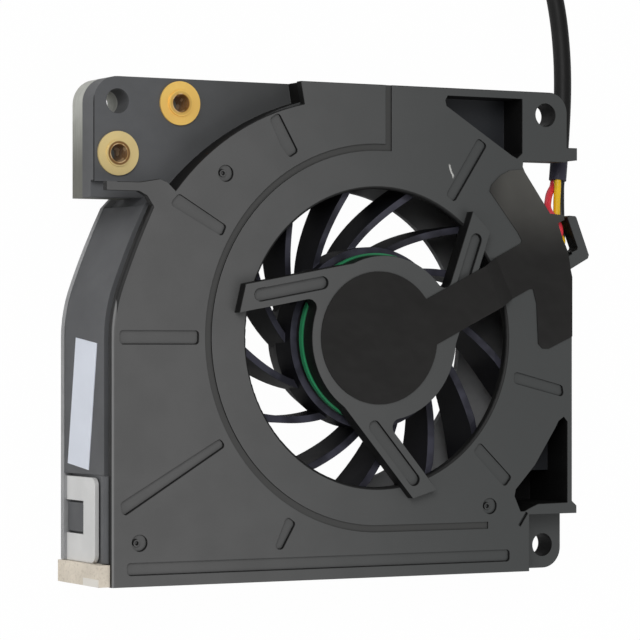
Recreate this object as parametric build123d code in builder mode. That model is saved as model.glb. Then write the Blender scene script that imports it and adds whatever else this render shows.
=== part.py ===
from build123d import *
import math
import os

# Heights above the rest plane
plate_top = 15.0
plate_thickness = 1.2
plate_bottom = plate_top - plate_thickness
hub_rise = 1.5
hub_top = plate_top + hub_rise
cover_thickness = 1.0
belly_top = 12.24
joint_gap = 0.1
sliver_gap = 0.05

# Inlets and hub
inlet_radius = 21.2
inlet_edge_radius = 0.45
rear_inlet_step = 0.3
rear_inlet_radius = inlet_radius + rear_inlet_step
hub_radius = 11.7

# Spokes
spoke_count = 3
spoke_direction = 190.3
spoke_offset = 9.4
spoke_width = 3.75
spoke_overlap = 2.1
spoke_reach = inlet_radius + spoke_overlap
spoke_slot_width = 1.8
spoke_slot_depth = 0.5
spoke_slot_margin = 4.0
spoke_slot_start = 7.6
spoke_slot_end = spoke_reach - spoke_slot_margin
spoke_corner = 1.2

# Plate outline
plate_left = -41.6
plate_right = 32.4
plate_low = -34.0
plate_high = 36.0
lip_points = [(-35.6, 18.2), (-38.0, 13.0), (-39.0, 10.6), (-40.0, 8.0), (-40.7, 6.0), (-41.2, 4.0)]

notch_step_top = -12.7
notch_arc = [(-12.1, 32.8), (-23.5, 28.0), (-32.1, 20.1)]
corner_tab = [
    (-33.4, 21.3), (-34.5, 21.7), (-37.5, 21.2), (-42.4, 21.2), (-42.4, 20.0), (-37.6, 20.0),
    (-36.4, 19.4),
]

# Screw ears
screw_hole_radius = 1.7
ear_thickness = 3.8
ear_corner = 3.0
upper_ear_hole = (27.8, 32.7)
lower_ear_hole = (29.9, -30.5)
lower_ear_bottom = 7.0
ear_left = 24.0
ear_right = 31.5
lower_ear_left = 25.0
lower_ear_right = 33.0
lower_ear_low = -33.9
lower_ear_high = -25.2
ear_side_high = 33.0
ear_low = 25.9
ear_tab_low = 26.2
ear_tab_high = 28.0
ear_tab_right = 33.3

# Right edge of the plate, from the lower ear to the upper one
rim_low = -25.7
rim_right = 33.2
rim_corner_high = -24.6
rim_end_high = -23.9
rim_inner = [(31.6, -24.1), (26.5, -24.2), (25.0, -24.8)]
right_side_high = 9.0
right_curve = [
    (32.1, 10.2), (31.8, 12.5), (31.2, 13.8), (30.8, 14.5), (30.3, 16.0), (29.8, 17.1),
    (28.6, 18.3), (24.3, 24.2), (23.9, 25.0),
]

# Hook that guides the wires
hook_thickness = 2.3
hook_outline = [
    (31.2, 9.4), (32.2, 10.2), (35.2, 11.8), (35.4, 12.3), (33.2, 17.8), (33.0, 18.0),
    (32.0, 18.05), (31.6, 17.8), (33.4, 13.4), (33.3, 13.1), (31.6, 12.4),
]

# Blind pockets
pocket_wall = 0.6
pocket_floor_thickness = 0.8
upper_pocket_floor = 9.9
upper_pocket = [
    (10.8, 34.2), (11.2, 34.9), (23.8, 34.9), (23.8, 27.0), (22.9, 26.2), (22.0, 26.6), (11.0, 33.4),
]
lower_pocket_floor = 9.6
lower_pocket_deep_floor = 4.6
lower_pocket_step = -19.5
step_cut_mid = 28.0
step_cut_size = 20.0
lower_pocket = [
    (31.6, -12.2), (31.0, -11.5), (30.1, -12.1), (29.6, -13.0), (26.0, -18.5), (22.7, -22.0),
    (22.5, -23.0), (23.5, -25.2), (24.2, -25.2), (25.0, -24.8), (26.5, -24.2), (31.6, -24.1),
]

# Shallow marks on the plate
slot_depth = 0.35
slot_corner = 0.5
slot_outlines = [
    [(-40.5, -0.9), (-28.6, -0.9), (-28.6, 1.0), (-40.5, 1.0)],
    [(-40.0, -24.4), (-24.5, -15.0), (-25.3, -13.9), (-40.4, -22.5)],
    [(-31.6, 19.8), (-33.0, 18.3), (-25.0, 14.0), (-24.3, 15.5)],
    [(-16.2, 31.5), (-17.6, 30.5), (-15.8, 26.8), (-14.5, 25.2), (-13.1, 26.1)],
    [(17.8, 28.0), (16.3, 29.0), (10.9, 20.6), (12.3, 19.6)],
    [(22.4, -4.8), (30.7, -6.9), (31.0, -8.6), (22.4, -6.5)],
    [(16.6, -15.0), (22.0, -20.2), (20.8, -21.6), (15.5, -16.4)],
    [(-14.9, -24.9), (-13.5, -25.9), (-15.6, -29.5), (-16.9, -29.5)],
    [(-39.4, -32.4), (21.6, -32.4), (21.6, -30.7), (-39.4, -30.7)],
]
groove_depth = 0.25
groove_margin = 5.4
groove_inner = inlet_radius + groove_margin
groove_width = 1.0
groove_leg_left = 0.95
groove_run_end = 18.0
relief_cut_place = (23.95, -26.35)
relief_cut_length = 2.3
relief_cut_width = 0.4
relief_cut_angle = 55.6
mark_radius = 1.15
mark_shift = 0.45
mark_nub_radius = 0.5
mark_dimple_radius = 0.28
mark_depth = 0.3
mark_places = [(-24.9, 22.75), (-38.0, -28.0), (17.8, -24.3)]

# Scroll wall, its outer radius by angle about the rotor axis
scroll_wall = 1.0
neck_by_angle = [(-44, 30.8), (0, 32.2), (45, 33.4), (90, 34.6), (115, 35.5), (148, 37.9), (180, 40.0)]
wall_low = -33.3
outlet_wall_left = 23.8
outlet_wall_right = 25.0
tongue_inner = [(20.9, -23.2), (21.3, -24.2)]
tongue_foot_inner = -27.3
tongue_foot_outer = -27.0
tongue_outer = [(22.3, -23.9), (21.95, -23.2)]
side_wall_inner = -39.5
belly_inner = [(-31.7, 19.8), (-32.5, 18.75), (-36.9, 10.6)]
belly_corner = (-33.6, 20.6)
belly_flare = 1.0
flare_low = -18.8
flare_inner = [(-35.0, 17.2), (-36.9, 13.5), (-38.9, 8.0), (-40.6, 0.0)]

# Corner block and what sits in it
block_left = -42.5
block_high = 35.9
block_right = -9.5
block_top = 10.8
block_wall_side = [(-11.9, 32.7), (-17.7, 30.6), (-23.2, 27.6), (-28.2, 23.65)]
step_wall = [(-12.5, 35.9), (-12.0, 32.8), (-9.9, 33.2)]
block_foot_right = -34.6
ledge_foot_right = -34.7
block_bottom = 7.0
block_low = 21.4
ledge_top = 9.8
ledge_low = 19.3
block_corner = 3.6
corner_hole = (-38.9, 32.5)
spacer_bottom = 3.6
spacer_right = -12.0
spacer_inner = [
    (-35.0, 19.3), (-33.75, 20.85), (-32.45, 20.75), (-28.75, 24.1), (-23.65, 28.15), (-18.1, 31.3),
    (-12.0, 33.45),
]
upper_insert = (-29.5, 32.5)
lower_insert = (-38.9, 25.3)
insert_flange_radius = 3.05
insert_rim_radius = 1.8
insert_barrel_radius = 2.1
insert_bore_radius = 1.25
insert_flange_height = 0.3
insert_rim_height = 0.25

# Side bead, tooth, tab, foam and label
bead_outer = -42.1
bead_low = -30.8
bead_high = -18.9
bead_bottom = 11.9
bead_corner = 0.6
tab_outer = -42.4
tab_thickness = 0.6
tab_corner = 1.2
tab_low = -30.9
tab_high = -19.2
tab_top = 11.0
window_low = -27.1
window_high = -22.5
window_top = 7.1
tooth_clearance = 0.3
tooth_root = 1.0
tooth_top_gap = 0.9
cover_edge = 0.1
cover_ear_high = -26.5
cover_side_low = -23.5
cover_right = [(30.3, 15.8), (24.3, 24.2), (12.5, 34.0), (6.0, 35.8), (-12.0, 35.8), (-18.3, 31.8)]
cover_notch = [(-18.3, 31.8), (-26.4, 26.8), (-33.5, 21.5)]
cover_left = plate_left - belly_flare - cover_edge
foam_outer = -43.2
foam_height = 14.2
backing_bottom = 9.0
backing_length = 1.0
backing_shift = 0.6
label_length = 17.6
label_width = 6.0
label_tilt = -7.6
label_y = -9.1
label_height = 6.26

# Tape and wires over the hub
tape_thickness = 0.15
stem_direction = 26.1
stem_low = -4.53
stem_high = 2.03
tape_disc_radius = 9.4
tape_disc_shift = -0.9
stem_flat_margin = 1.8
stem_flat_end = inlet_radius - stem_flat_margin
stem_ramp = 3.0
stem_ramp_end = stem_flat_end + stem_ramp
stem_ramp_foot = 1.0
tape_patch = [
    (23.5, 13.8), (23.7, 14.2), (22.9, 15.5), (18.2, 21.3), (18.5, 22.2), (20.0, 23.6), (21.6, 24.4),
    (23.9, 24.6), (28.4, 18.3), (30.9, 18.1), (31.0, 17.4), (29.9, 16.9), (30.3, 15.8), (30.8, 14.4),
    (31.3, 13.5), (31.7, 12.5), (32.1, 10.2), (32.4, 9.0), (32.4, 0.3), (28.3, -1.5), (27.2, -1.5),
    (26.5, -0.8), (26.2, 5.0), (25.6, 7.2), (25.0, 7.2),
]
wire_radius = 0.525
wire_pitch = 1.15
wire_lane = -1.24
channel_width = 3.7
channel_end = 34.6
channel_side = 0.5
channel_floor_start = 1.0
channel_mouth = [(31.0, 5.0), (40.0, 5.0), (40.0, 25.0), (27.0, 25.0)]
channel_floor = 13.35
hub_channel_floor = 15.3
hub_channel_start = 11.8
solder_pocket_start = 7.4

# Motor
board_radius = 12.1
board_thickness = 0.8
board_top = 14.1
board_bottom = board_top - board_thickness
tube_outer = 2.9
tube_inner = 2.3
tube_bottom = 4.6
fit_gap = 0.02
sleeve_bottom = 5.0
sleeve_top = 13.4
shaft_radius = 1.0
running_gap = 0.03
shaft_bottom = 2.5
shaft_top = 13.2
core_radius = 9.5
core_drop = 1.0
core_height = 3.5
core_top = board_bottom - core_drop
core_bottom = core_top - core_height
core_ring_radius = 4.2
tooth_width = 2.6
shoe_thickness = 1.1
shoe_inner = core_radius - shoe_thickness
shoe_angle = 74.0
insulator_thickness = 0.4
coil_width = 5.2
coil_ring_gap = 0.3
coil_shoe_gap = 0.5
coil_build = 0.4
coil_inner = core_ring_radius + coil_ring_gap
coil_outer = shoe_inner - coil_shoe_gap
coil_bottom = core_bottom - insulator_thickness - coil_build
coil_top = core_top + insulator_thickness + coil_build
pole_count = 4
sensor_place = (7.5, 7.5)
sensor_length = 2.9
sensor_width = 1.6
sensor_height = 0.6
sensor_turn = 45.0

# Rotor
magnet_gap = 0.4
magnet_thickness = 1.5
magnet_inner = core_radius + magnet_gap
magnet_outer = magnet_inner + magnet_thickness
yoke_wall = 0.6
yoke_outer = magnet_outer + yoke_wall
yoke_flange_inner = 10.0
cup_wall = 1.0
cup_outer = yoke_outer + cup_wall
cup_back = 2.0
cup_back_radius = 11.2
cup_back_thickness = 1.0
cup_knee = 7.8
cup_top = 12.4
seat_height = 7.3
shaft_boss_radius = 2.2
shaft_boss_height = 1.2
magnet_bottom = seat_height + yoke_wall
magnet_top = 12.2
blade_count = 13
blade_shifts = [0, 2.5, 1.5, 0, 0, 0, -3.5, -1, -1, 0, -2.5, 0, -1]
blade_sweep = 41.0
blade_bend = -0.04
blade_phase = -7.3
blade_phase_radius = 20.4
blade_root_depth = 1.0
blade_root_radius = cup_outer - blade_root_depth
blade_tip_radius = 27.75
blade_thickness = 1.0
blade_back = 5.1
blade_top = 13.0
blade_inner_top = 10.8
blade_slope_start = 0.2
blade_slope_radius = 20.5

# Lead
lead_sleeve_radius = 1.3
lead_lie = 1.35
sleeve_points = [
    (33.3, 23.5, 9.7), (34.4, 32.5, 9.3), (35.6, 42.0, 7.6), (36.2, 51.5, 4.7),
    (35.2, 61.0, lead_lie), (30.8, 69.5, lead_lie), (23.0, 75.0, lead_lie), (14.0, 76.3, lead_lie),
]
arc_share = 0.45

# Connector
connector_back = 6.5
connector_length = 5.0
connector_width = 6.2
connector_height = 3.2
connector_y = 77.4
connector_lift = 0.05
pin_pitch = 1.5
pin_hole_radius = 0.62
pin_hole_depth = 1.2
latch_length = 1.2
latch_height = 0.6
latch_side = 1.0
latch_place = 1.6
socket_width = 0.9
socket_height = 1.4
socket_depth = 3.0
contact_length = 2.2
contact_width = 0.7
contact_height = 0.5


def polar(radius, degrees):
    angle = math.radians(degrees)
    return (radius * math.cos(angle), radius * math.sin(angle))


def arc_radii(points):
    """Radius of the bend at each inner point of a route."""
    radii = []
    for before, corner, after in zip(points, points[1:], points[2:]):
        entry = Vector(*corner) - Vector(*before)
        leave = Vector(*after) - Vector(*corner)
        turn = math.radians(entry.get_angle(leave))
        shorter = min(entry.length, leave.length)
        radii.append(arc_share * shorter / math.tan(turn / 2))
    return radii


def stem_point(along, across, height):
    """Place of a point given along and across the tape's stem."""
    angle = math.radians(stem_direction)
    x = along * math.cos(angle) - across * math.sin(angle)
    y = along * math.sin(angle) + across * math.cos(angle)
    return (x, y, height)


def blade_side(side, turn):
    """Points on one side of a blade, a spiral that trails as it goes outward."""
    points = []
    steps = 5
    sweep_angle = math.radians(blade_sweep)
    for step in range(steps + 1):
        radius = blade_root_radius + (blade_tip_radius - blade_root_radius) * step / steps
        swing = math.tan(sweep_angle) * math.log(radius / blade_phase_radius)
        swing += math.radians(blade_bend) * (radius - blade_phase_radius)**2
        angle = math.radians(blade_phase + turn) - swing
        normal = angle - sweep_angle + math.pi / 2
        x = radius * math.cos(angle) + side * blade_thickness / 2 * math.cos(normal)
        y = radius * math.sin(angle) + side * blade_thickness / 2 * math.sin(normal)
        points.append((x, y))
    return points


os.makedirs("parts", exist_ok=True)

spoke_half = spoke_width / 2
spoke_far = -(spoke_offset + spoke_half)
spoke_near = -(spoke_offset - spoke_half)
spoke_far_end = math.sqrt(spoke_reach**2 - spoke_far**2)
spoke_near_end = math.sqrt(spoke_reach**2 - spoke_near**2)
neck_outer = [polar(radius, angle) for angle, radius in neck_by_angle]
neck_inner = [polar(radius - scroll_wall, angle) for angle, radius in neck_by_angle]
stem_flat = Plane(origin=(0, 0, 0), x_dir=stem_point(1, 0, 0), z_dir=(0, 0, 1))
stem_side = Plane(
    origin=stem_point(0, stem_high, 0), x_dir=stem_point(1, 0, 0), z_dir=stem_point(0, -1, 0)
)

# Front casing, one moulding with plate, hub, spokes, ears, hook and pockets
with BuildPart() as front_casing:
    with BuildSketch(Plane.XY.offset(plate_bottom)):
        with BuildLine():
            Polyline(
                (plate_left, 0), (plate_left, plate_low), (lower_ear_left, plate_low),
                (lower_ear_left, rim_low), (rim_right, rim_low), (rim_right, rim_corner_high),
                (plate_right, rim_end_high), (plate_right, right_side_high), *right_curve,
                (ear_left, ear_low), (ear_right, ear_low), (ear_right, plate_high - ear_corner),
            )
            RadiusArc(
                (ear_right, plate_high - ear_corner), (ear_right - ear_corner, plate_high), -ear_corner
            )
            Polyline(
                (ear_right - ear_corner, plate_high), (notch_step_top, plate_high), notch_arc[0]
            )
            ThreePointArc(*notch_arc)
            Polyline(notch_arc[-1], *corner_tab, lip_points[0])
            Spline(*lip_points, (plate_left, 0))
        make_face()
        Circle(inlet_radius, mode=Mode.SUBTRACT)
    extrude(amount=plate_thickness)
    rim = front_casing.edges().filter_by(GeomType.CIRCLE).filter_by(
        lambda edge: abs(edge.radius - inlet_radius) < sliver_gap
    )
    fillet(rim.group_by(Axis.Z)[-1], radius=inlet_edge_radius)
    lip = front_casing.edges().group_by(Axis.Z)[-1].filter_by(
        lambda edge: edge.center().X < lip_points[1][0] and edge.center().Y < lip_points[0][1]
    )
    fillet(lip, radius=inlet_edge_radius)

    # Hub and spokes
    with BuildSketch(Plane.XY.offset(board_top)):
        Circle(hub_radius)
        with PolarLocations(0, spoke_count, start_angle=spoke_direction):
            Polygon(
                (0, spoke_far), (spoke_far_end, spoke_far), (spoke_near_end, spoke_near),
                (0, spoke_near), align=None,
            )
    extrude(amount=hub_top - board_top)
    spoke_roots = front_casing.edges().filter_by(Axis.Z).filter_by(
        lambda edge: abs(math.hypot(edge.center().X, edge.center().Y) - hub_radius) < sliver_gap
    )
    fillet(spoke_roots, radius=spoke_corner)

    # Floor under the wires in the plate
    with BuildSketch(stem_flat.offset(channel_floor)):
        with Locations(((inlet_radius + channel_end) / 2, wire_lane)):
            Rectangle(
                channel_end - inlet_radius - 2 * channel_floor_start, channel_width + 2 * channel_side
            )
    extrude(amount=plate_bottom - channel_floor)
    with BuildSketch(Plane.XY.offset(channel_floor)):
        with BuildLine():
            Polyline(*channel_mouth, close=True)
        make_face()
    extrude(amount=plate_bottom - channel_floor, mode=Mode.SUBTRACT)

    # Ears, tab and hook
    with BuildSketch(Plane.XY.offset(plate_top - ear_thickness)):
        with BuildLine():
            Polyline(
                (ear_left, ear_low), (ear_right, ear_low), (ear_right, ear_tab_low),
                (ear_tab_right, ear_tab_low), (ear_tab_right, ear_tab_high),
                (ear_right, ear_tab_high), (ear_right, plate_high - ear_corner),
            )
            RadiusArc(
                (ear_right, plate_high - ear_corner), (ear_right - ear_corner, plate_high), -ear_corner
            )
            Polyline(
                (ear_right - ear_corner, plate_high), (ear_left, plate_high), (ear_left, ear_low)
            )
        make_face()
    extrude(amount=ear_thickness)
    with BuildSketch(Plane.XY.offset(lower_ear_bottom)):
        with BuildLine():
            Polyline(
                (lower_ear_left, lower_ear_high), (lower_ear_left, lower_ear_low),
                (lower_ear_right - ear_corner, lower_ear_low),
            )
            RadiusArc(
                (lower_ear_right - ear_corner, lower_ear_low),
                (lower_ear_right, lower_ear_low + ear_corner), -ear_corner,
            )
            Polyline(
                (lower_ear_right, lower_ear_low + ear_corner), (lower_ear_right, lower_ear_high),
                (lower_ear_left, lower_ear_high),
            )
        make_face()
    extrude(amount=ear_thickness)
    with BuildSketch(Plane.XY.offset(lower_ear_bottom)):
        with BuildLine():
            Polyline(
                (lower_ear_left, rim_low), (rim_right, rim_low), (rim_right, rim_corner_high),
                (plate_right, rim_end_high), *rim_inner, close=True,
            )
        make_face()
    extrude(amount=plate_top - lower_ear_bottom)
    with BuildSketch(Plane.XY.offset(plate_top - hook_thickness)):
        with BuildLine():
            Polyline(*hook_outline, close=True)
        make_face()
    extrude(amount=hook_thickness)

    # Walls and floors of the blind pockets
    with BuildSketch(Plane.XY.offset(upper_pocket_floor - pocket_floor_thickness)):
        with BuildLine():
            Polyline(*upper_pocket, close=True)
        make_face()
        offset(amount=pocket_wall)
    extrude(until=Until.NEXT)
    with BuildSketch(Plane.XY.offset(lower_pocket_floor - pocket_floor_thickness)):
        with BuildLine():
            Polyline(*lower_pocket, close=True)
        make_face()
        offset(amount=pocket_wall)
    extrude(amount=plate_bottom - lower_pocket_floor + pocket_floor_thickness)
    with BuildSketch(Plane.XY.offset(lower_pocket_deep_floor - pocket_floor_thickness)):
        with BuildLine():
            Polyline(*lower_pocket, close=True)
        make_face()
        offset(amount=pocket_wall)
        with Locations((step_cut_mid, lower_pocket_step + pocket_wall + step_cut_size / 2)):
            Rectangle(step_cut_size, step_cut_size, mode=Mode.SUBTRACT)
    extrude(amount=lower_pocket_floor - lower_pocket_deep_floor)

    # Hollows of the pockets
    with BuildSketch(Plane.XY.offset(upper_pocket_floor)):
        with BuildLine():
            Polyline(*upper_pocket, close=True)
        make_face()
    extrude(amount=plate_top, mode=Mode.SUBTRACT)
    with BuildSketch(Plane.XY.offset(lower_pocket_floor)):
        with BuildLine():
            Polyline(*lower_pocket, close=True)
        make_face()
    extrude(amount=plate_top, mode=Mode.SUBTRACT)
    with BuildSketch(Plane.XY.offset(lower_pocket_deep_floor)):
        with BuildLine():
            Polyline(*lower_pocket, close=True)
        make_face()
        with Locations((step_cut_mid, lower_pocket_step + step_cut_size / 2)):
            Rectangle(step_cut_size, step_cut_size, mode=Mode.SUBTRACT)
    extrude(amount=plate_top, mode=Mode.SUBTRACT)

    # Slots, groove and round marks
    with BuildSketch(Plane.XY.offset(plate_top - slot_depth)) as slot_sketch:
        for outline in slot_outlines:
            with BuildLine():
                Polyline(*outline, close=True)
            make_face()
        fillet(slot_sketch.vertices(), radius=slot_corner)
    extrude(amount=slot_depth, mode=Mode.SUBTRACT)
    with BuildSketch(Plane.XY.offset(plate_top - groove_depth)):
        Circle(groove_inner + groove_width)
        Circle(groove_inner, mode=Mode.SUBTRACT)
        with Locations((groove_leg_left + groove_inner, 0)):
            Rectangle(2 * groove_inner, 3 * groove_inner, mode=Mode.SUBTRACT)
        with Locations((groove_leg_left + groove_width / 2, (groove_inner + plate_high) / 2)):
            Rectangle(groove_width, plate_high - groove_inner)
        with Locations((groove_run_end / 2, -groove_inner - groove_width / 2)):
            Rectangle(groove_run_end, groove_width)
    extrude(amount=groove_depth, mode=Mode.SUBTRACT)
    with BuildSketch(Plane.XY.offset(plate_top - mark_depth)):
        with Locations(*mark_places):
            with Locations((mark_shift, 0)):
                Circle(mark_radius)
            Circle(mark_nub_radius, mode=Mode.SUBTRACT)
            Circle(mark_dimple_radius)
    extrude(amount=mark_depth, mode=Mode.SUBTRACT)
    with BuildSketch(Plane.XY.offset(plate_top - slot_depth)):
        with Locations(relief_cut_place):
            Rectangle(relief_cut_length, relief_cut_width, rotation=relief_cut_angle)
    extrude(amount=slot_depth, mode=Mode.SUBTRACT)
    with BuildSketch(Plane.XY.offset(hub_top - spoke_slot_depth)):
        with PolarLocations(0, spoke_count, start_angle=spoke_direction):
            with Locations(((spoke_slot_start + spoke_slot_end) / 2, -spoke_offset)):
                SlotOverall(spoke_slot_end - spoke_slot_start, spoke_slot_width)
    extrude(amount=spoke_slot_depth, mode=Mode.SUBTRACT)

    # Channel for the wires through plate, spoke and hub
    with BuildSketch(stem_flat.offset(plate_bottom)):
        with Locations(((stem_flat_end + channel_end) / 2, wire_lane)):
            Rectangle(channel_end - stem_flat_end, channel_width)
    extrude(amount=plate_thickness, mode=Mode.SUBTRACT)
    with BuildSketch(stem_flat.offset(hub_channel_floor)):
        with Locations(((hub_channel_start + stem_flat_end) / 2, wire_lane)):
            Rectangle(stem_flat_end - hub_channel_start, channel_width)
    extrude(amount=hub_top, mode=Mode.SUBTRACT)
    with BuildSketch(stem_flat.offset(board_top)):
        with Locations(((solder_pocket_start + hub_channel_start) / 2, wire_lane)):
            Rectangle(hub_channel_start - solder_pocket_start, channel_width)
    extrude(amount=hub_top, mode=Mode.SUBTRACT)

    # Screw holes
    with BuildSketch(Plane.XY.offset(lower_ear_bottom - joint_gap)):
        with Locations(upper_ear_hole, lower_ear_hole):
            Circle(screw_hole_radius)
    extrude(amount=plate_top, mode=Mode.SUBTRACT)
front_casing.part.label = "front_casing"
export_step(front_casing.part, "parts/front_casing.step")

# Scroll casing, one moulding with scroll wall, belly, corner block, bead and tooth
with BuildPart() as scroll_casing:
    with BuildSketch(Plane.XY.offset(cover_thickness)):
        with BuildLine():
            Spline(*neck_outer)
            Polyline(
                neck_outer[-1], (neck_outer[-1][0], wall_low), (neck_inner[-1][0], wall_low),
                neck_inner[-1],
            )
            Spline(*reversed(neck_inner))
            Polyline(
                neck_inner[0], *tongue_inner, (outlet_wall_left, tongue_foot_inner),
                (outlet_wall_left, wall_low), (outlet_wall_right, wall_low),
                (outlet_wall_right, tongue_foot_outer), *tongue_outer, neck_outer[0],
            )
        make_face()
    extrude(amount=plate_bottom - cover_thickness)
    with BuildSketch(Plane.XY.offset(cover_thickness)):
        with BuildLine():
            Polyline(
                *belly_inner, (side_wall_inner, 0), (side_wall_inner, wall_low),
                (plate_left, wall_low), (plate_left, 0),
            )
            Spline((plate_left, 0), *reversed(lip_points))
            Polyline(lip_points[0], belly_corner, belly_inner[0])
        make_face()
    extrude(amount=belly_top - cover_thickness)

    # Flare of the belly's side towards the rear
    for height, reach in ((cover_thickness, belly_flare), (belly_top, 0)):
        flared = [(x - reach, y) for x, y in lip_points]
        with BuildSketch(Plane.XY.offset(height)):
            with BuildLine():
                Polyline(
                    flared[0], *flare_inner, (flare_inner[-1][0], flare_low),
                    (plate_left - reach, flare_low), (plate_left - reach, 0),
                )
                Spline((plate_left - reach, 0), *reversed(flared))
            make_face()
    loft()

    # Corner block with its lower ledge
    with BuildSketch(Plane.XY.offset(block_bottom)) as block_sketch:
        with BuildLine():
            Polyline(
                belly_inner[0], belly_corner, (block_foot_right, block_low), (block_left, block_low),
                (block_left, block_high), (block_right, block_high), step_wall[-1],
                *block_wall_side, close=True,
            )
        make_face()
        fillet(block_sketch.vertices().group_by(Axis.Y)[-1].sort_by(Axis.X)[0], radius=block_corner)
    extrude(amount=block_top - block_bottom)
    with BuildSketch(Plane.XY.offset(block_bottom)):
        with BuildLine():
            Polyline(
                belly_corner, (ledge_foot_right, ledge_low), (block_left, ledge_low),
                (block_left, block_low), (block_foot_right, block_low), close=True,
            )
        make_face()
    extrude(amount=ledge_top - block_bottom)
    with BuildSketch(Plane.XY.offset(block_bottom)):
        with BuildLine():
            Polyline(*step_wall, (block_right, block_high), close=True)
        make_face()
    extrude(amount=plate_bottom - block_bottom)

    # Bead above the tab and tooth inside the tab's window
    with BuildSketch(Plane.XZ.offset(-bead_low)) as bead_sketch:
        bead_place = (bead_outer + side_wall_inner) / 2, (bead_bottom + plate_bottom - joint_gap) / 2
        with Locations(bead_place):
            Rectangle(side_wall_inner - bead_outer, plate_bottom - joint_gap - bead_bottom)
        fillet(bead_sketch.vertices().group_by(Axis.X)[0], radius=bead_corner)
    extrude(amount=bead_low - bead_high)
    with BuildSketch(Plane.YZ.offset(plate_left - tab_thickness)):
        with Locations(((window_low + window_high) / 2, (cover_thickness + window_top) / 2)):
            Rectangle(
                window_high - window_low - 2 * tooth_clearance,
                window_top - cover_thickness - tooth_top_gap,
            )
    extrude(amount=tab_thickness + tooth_root)

    # Room for the pocket walls, holes for screw and inserts
    with BuildSketch(Plane.XY.offset(upper_pocket_floor - pocket_floor_thickness - sliver_gap)):
        with BuildLine():
            Polyline(*upper_pocket, close=True)
        make_face()
        offset(amount=pocket_wall + sliver_gap)
    extrude(amount=plate_top, mode=Mode.SUBTRACT)
    with BuildSketch(Plane.XY.offset(lower_pocket_deep_floor - pocket_floor_thickness - sliver_gap)):
        with BuildLine():
            Polyline(*lower_pocket, close=True)
        make_face()
        offset(amount=pocket_wall + sliver_gap)
    extrude(amount=plate_top, mode=Mode.SUBTRACT)
    with BuildSketch(stem_flat.offset(channel_floor - sliver_gap)):
        with Locations(((inlet_radius + channel_end) / 2, wire_lane)):
            Rectangle(channel_end - inlet_radius, channel_width + 2 * channel_side + 2 * sliver_gap)
    extrude(amount=plate_bottom, mode=Mode.SUBTRACT)
    with BuildSketch(Plane.XY.offset(block_bottom)):
        with Locations(corner_hole):
            Circle(screw_hole_radius)
        with Locations(upper_insert, lower_insert):
            Circle(insert_barrel_radius + fit_gap)
    extrude(amount=block_top, mode=Mode.SUBTRACT)
scroll_casing.part.label = "scroll_casing"
export_step(scroll_casing.part, "parts/scroll_casing.step")

# Layer behind the corner block
with BuildPart() as corner_spacer:
    with BuildSketch(Plane.XY.offset(spacer_bottom)) as spacer_sketch:
        with BuildLine():
            Polyline(
                (block_left, ledge_low), *spacer_inner, (spacer_right, block_high),
                (block_left, block_high), close=True,
            )
        make_face()
        fillet(spacer_sketch.vertices().group_by(Axis.Y)[-1].sort_by(Axis.X)[0], radius=block_corner)
        with Locations(corner_hole, upper_insert, lower_insert):
            Circle(screw_hole_radius, mode=Mode.SUBTRACT)
    extrude(amount=block_bottom - spacer_bottom)
corner_spacer.part.label = "corner_spacer"
export_step(corner_spacer.part, "parts/corner_spacer.step")

# Sheet metal rear cover with inlet and bent side tab
with BuildPart() as rear_cover:
    with BuildSketch(Plane.XY):
        with BuildLine():
            Polyline(
                (plate_left, plate_low), (lower_ear_left, plate_low),
                (lower_ear_left, cover_ear_high), (plate_right, cover_side_low),
                (plate_right, right_side_high), *cover_right,
            )
            ThreePointArc(*cover_notch)
            cover_lip = [(x - belly_flare - cover_edge, y) for x, y in lip_points]
            Polyline(cover_notch[-1], cover_lip[0])
            Spline(*cover_lip, (cover_left, 0))
            Polyline(
                (cover_left, 0), (cover_left, tab_low), (plate_left, tab_low), (plate_left, plate_low)
            )
        make_face()
        Circle(rear_inlet_radius, mode=Mode.SUBTRACT)
    extrude(amount=cover_thickness)
    with BuildSketch(Plane.YZ.offset(tab_outer)) as tab_sketch:
        with Locations(((tab_low + tab_high) / 2, tab_top / 2)):
            Rectangle(tab_high - tab_low, tab_top)
        fillet(tab_sketch.vertices().group_by(Axis.Y)[-1], radius=tab_corner)
        with Locations(((window_low + window_high) / 2, (cover_thickness + window_top) / 2)):
            Rectangle(window_high - window_low, window_top - cover_thickness, mode=Mode.SUBTRACT)
    extrude(amount=tab_thickness)
rear_cover.part.label = "rear_cover"
export_step(rear_cover.part, "parts/rear_cover.step")

# Threaded inserts, a flange with a raised rim and a barrel
for insert_name, place in (("insert_upper", upper_insert), ("insert_lower", lower_insert)):
    with BuildPart() as insert:
        with BuildSketch(Plane.XY.offset(block_bottom)):
            with Locations(place):
                Circle(insert_barrel_radius)
        extrude(amount=block_top - block_bottom)
        with BuildSketch(Plane.XY.offset(block_top)):
            with Locations(place):
                Circle(insert_flange_radius)
        extrude(amount=insert_flange_height)
        with BuildSketch(Plane.XY.offset(block_top + insert_flange_height)):
            with Locations(place):
                Circle(insert_rim_radius)
        extrude(amount=insert_rim_height)
        with BuildSketch(Plane.XY.offset(block_bottom)):
            with Locations(place):
                Circle(insert_bore_radius)
        extrude(amount=block_top, mode=Mode.SUBTRACT)
    insert.part.label = insert_name
    export_step(insert.part, f"parts/{insert_name}.step")

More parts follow.
